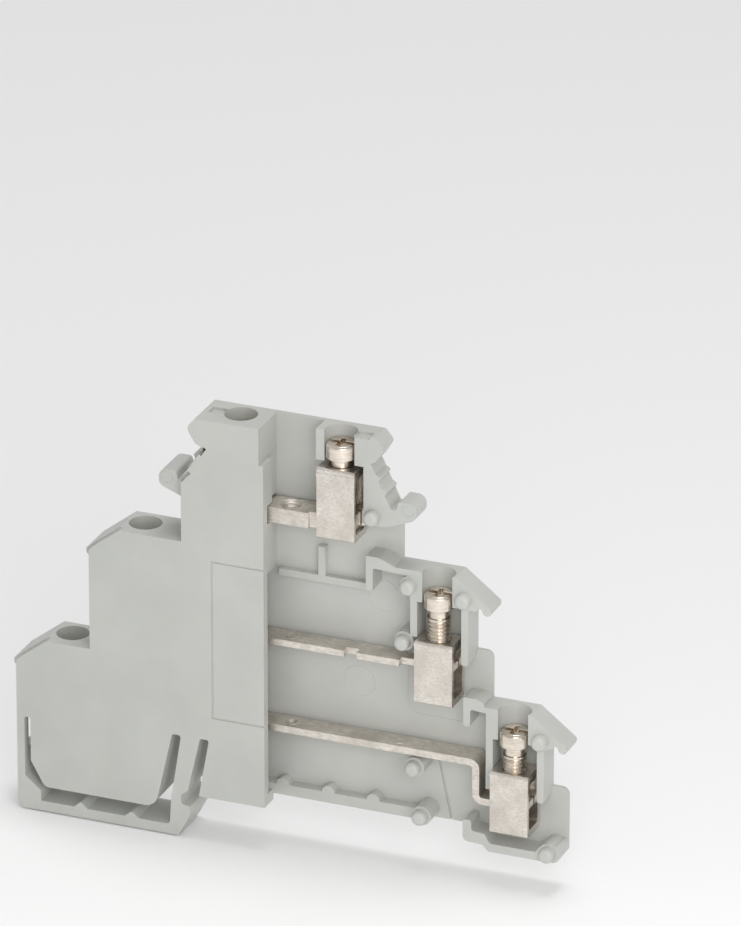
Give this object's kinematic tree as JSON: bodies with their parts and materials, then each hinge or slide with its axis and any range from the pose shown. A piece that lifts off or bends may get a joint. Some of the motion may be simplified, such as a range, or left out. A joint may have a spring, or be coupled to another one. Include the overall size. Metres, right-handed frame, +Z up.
{
  "type": "sensor terminal block",
  "caption": "Narrow three-tier screw terminal block for a top-hat rail, cut open on one side to show its current bars and screw clamps.",
  "frame": {"origin": "middle of the mounting rail's width, level with the top of the rail's flanges, at the block's front face", "axes": "+X along the block's length towards its open side, +Y from the front face to the rear face along the rail, +Z up away from the rail"},
  "size_m": [0.0719, 0.0062, 0.0561],
  "materials": {
    "housing_plastic": "matte moulded polyamide",
    "nickel_plate": "nickel plated, satin",
    "tinned_copper": "tin plated, satin"
  },
  "bodies": {
    "housing": {"rear_shell": "housing_plastic", "front_shell": "housing_plastic", "top_bar": "tinned_copper", "mid_bar": "tinned_copper", "low_bar": "tinned_copper"},
    "left_top_cage": {"left_top_cage": "nickel_plate"},
    "left_top_screw": {"left_top_screw": "nickel_plate"},
    "left_mid_cage": {"left_mid_cage": "nickel_plate"},
    "left_mid_screw": {"left_mid_screw": "nickel_plate"},
    "left_low_cage": {"left_low_cage": "nickel_plate"},
    "left_low_screw": {"left_low_screw": "nickel_plate"},
    "right_top_cage": {"right_top_cage": "nickel_plate"},
    "right_top_screw": {"right_top_screw": "nickel_plate"},
    "right_mid_cage": {"right_mid_cage": "nickel_plate"},
    "right_mid_screw": {"right_mid_screw": "nickel_plate"},
    "right_low_cage": {"right_low_cage": "nickel_plate"},
    "right_low_screw": {"right_low_screw": "nickel_plate"}
  },
  "joints": [
    {"name": "left_top_cage_lift", "type": "slide", "parent": "housing", "child": "left_top_cage", "axis": [0, 0, 1], "range_m": [-0.0036, 0]},
    {"name": "left_top_screw_turn", "type": "hinge", "parent": "housing", "child": "left_top_screw", "pos_m": [-0.01075, 0.00345, 0.0493], "axis": [0, 0, -1], "range_deg": [-2592.1, 0]},
    {"name": "left_mid_cage_lift", "type": "slide", "parent": "housing", "child": "left_mid_cage", "axis": [0, 0, 1], "range_m": [-0.0005, 0.0031]},
    {"name": "left_mid_screw_turn", "type": "hinge", "parent": "housing", "child": "left_mid_screw", "pos_m": [-0.0234, 0.00345, 0.0328], "axis": [0, 0, -1], "range_deg": [-360.1, 2232.1]},
    {"name": "left_low_cage_lift", "type": "slide", "parent": "housing", "child": "left_low_cage", "axis": [0, 0, 1], "range_m": [-0.0014, 0.0022]},
    {"name": "left_low_screw_turn", "type": "hinge", "parent": "housing", "child": "left_low_screw", "pos_m": [-0.03325, 0.00345, 0.0163], "axis": [0, 0, -1], "range_deg": [-1008.1, 1584.1]},
    {"name": "right_top_cage_lift", "type": "slide", "parent": "housing", "child": "right_top_cage", "axis": [0, 0, 1], "range_m": [-0.0036, 0]},
    {"name": "right_top_screw_turn", "type": "hinge", "parent": "housing", "child": "right_top_screw", "pos_m": [0.00225, 0.00345, 0.0493], "axis": [0, 0, -1], "range_deg": [-2592.1, 0]},
    {"name": "right_mid_cage_lift", "type": "slide", "parent": "housing", "child": "right_mid_cage", "axis": [0, 0, 1], "range_m": [-0.0005, 0.0031]},
    {"name": "right_mid_screw_turn", "type": "hinge", "parent": "housing", "child": "right_mid_screw", "pos_m": [0.0149, 0.00345, 0.0328], "axis": [0, 0, -1], "range_deg": [-360.1, 2232.1]},
    {"name": "right_low_cage_lift", "type": "slide", "parent": "housing", "child": "right_low_cage", "axis": [0, 0, 1], "range_m": [-0.0014, 0.0022]},
    {"name": "right_low_screw_turn", "type": "hinge", "parent": "housing", "child": "right_low_screw", "pos_m": [0.02475, 0.00345, 0.0163], "axis": [0, 0, -1], "range_deg": [-1008.1, 1584.1]}
  ],
  "couplings": [
    {"joint": "left_top_screw_turn", "follows": "left_top_cage_lift", "rad_per_m": 12566},
    {"joint": "left_mid_screw_turn", "follows": "left_mid_cage_lift", "rad_per_m": 12566},
    {"joint": "left_low_screw_turn", "follows": "left_low_cage_lift", "rad_per_m": 12566},
    {"joint": "right_top_screw_turn", "follows": "right_top_cage_lift", "rad_per_m": 12566},
    {"joint": "right_mid_screw_turn", "follows": "right_mid_cage_lift", "rad_per_m": 12566},
    {"joint": "right_low_screw_turn", "follows": "right_low_cage_lift", "rad_per_m": 12566}
  ]
}
